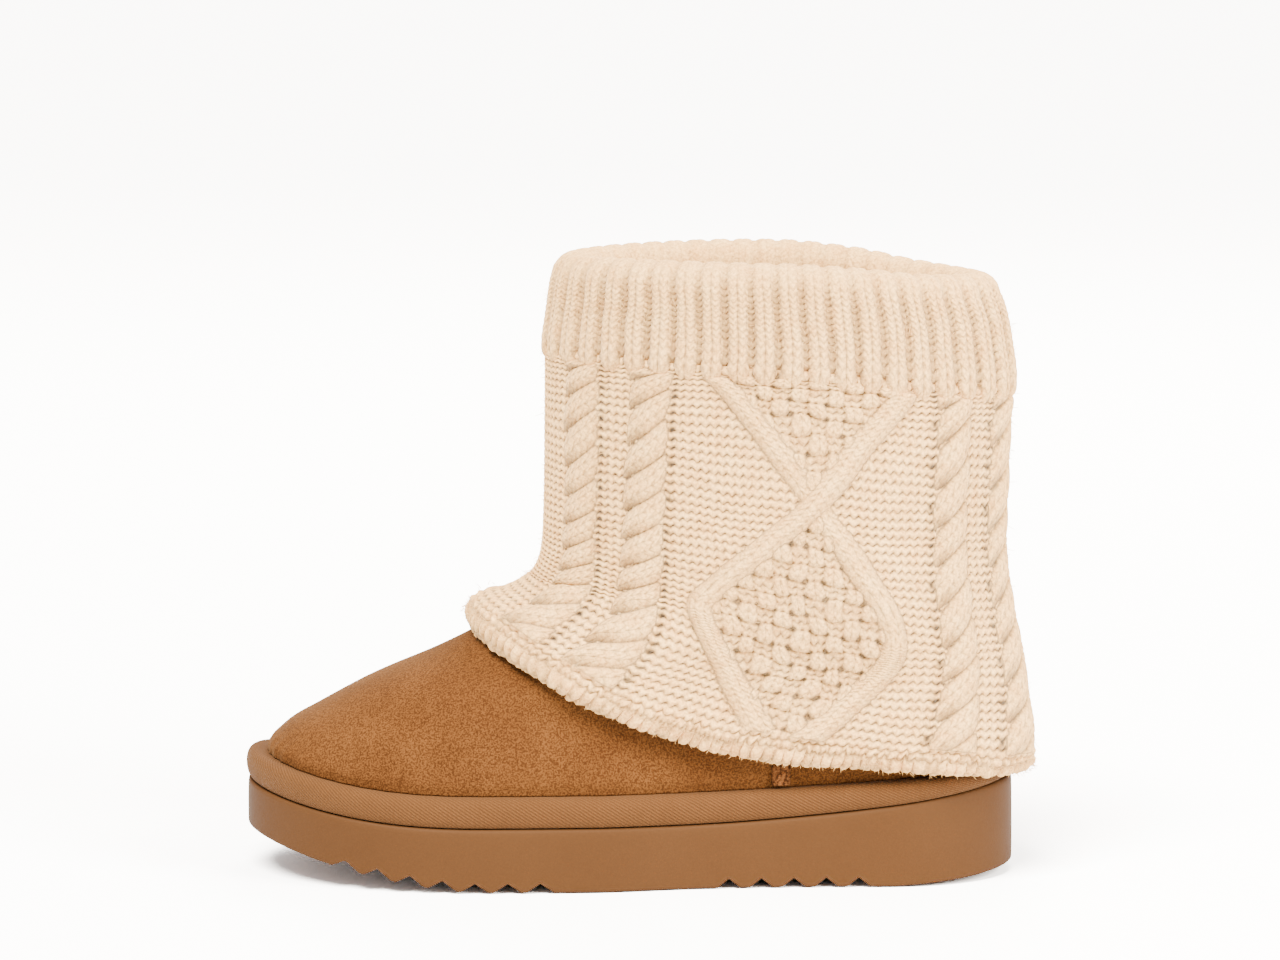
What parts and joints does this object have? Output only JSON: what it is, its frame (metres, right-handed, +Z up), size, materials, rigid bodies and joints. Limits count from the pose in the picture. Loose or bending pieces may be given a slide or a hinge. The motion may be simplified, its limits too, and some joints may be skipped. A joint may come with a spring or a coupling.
{
  "type": "ankle boot",
  "caption": "Left ankle boot with a suede upper on a wrapped foam platform sole and a cable-knit cuff folded over its collar.",
  "frame": {"origin": "on the floor, under the middle of the whole boot's box", "axes": "-X towards the toe, +X towards the heel, -Y towards the outer side of the foot, +Y towards its inner side, +Z up"},
  "size_m": [0.2782, 0.107, 0.218],
  "materials": {
    "foam": "matt moulded foam",
    "wrap": "fine ribbed textile cover",
    "suede": "brushed suede",
    "plush": "plush pile",
    "knit": "soft cable knit"
  },
  "bodies": {
    "root": {"outsole": "foam", "midsole": "wrap", "insole": "plush", "upper": "suede", "side_seam_outer": "suede", "side_seam_inner": "suede", "knit_cuff": "knit"}
  },
  "joints": []
}
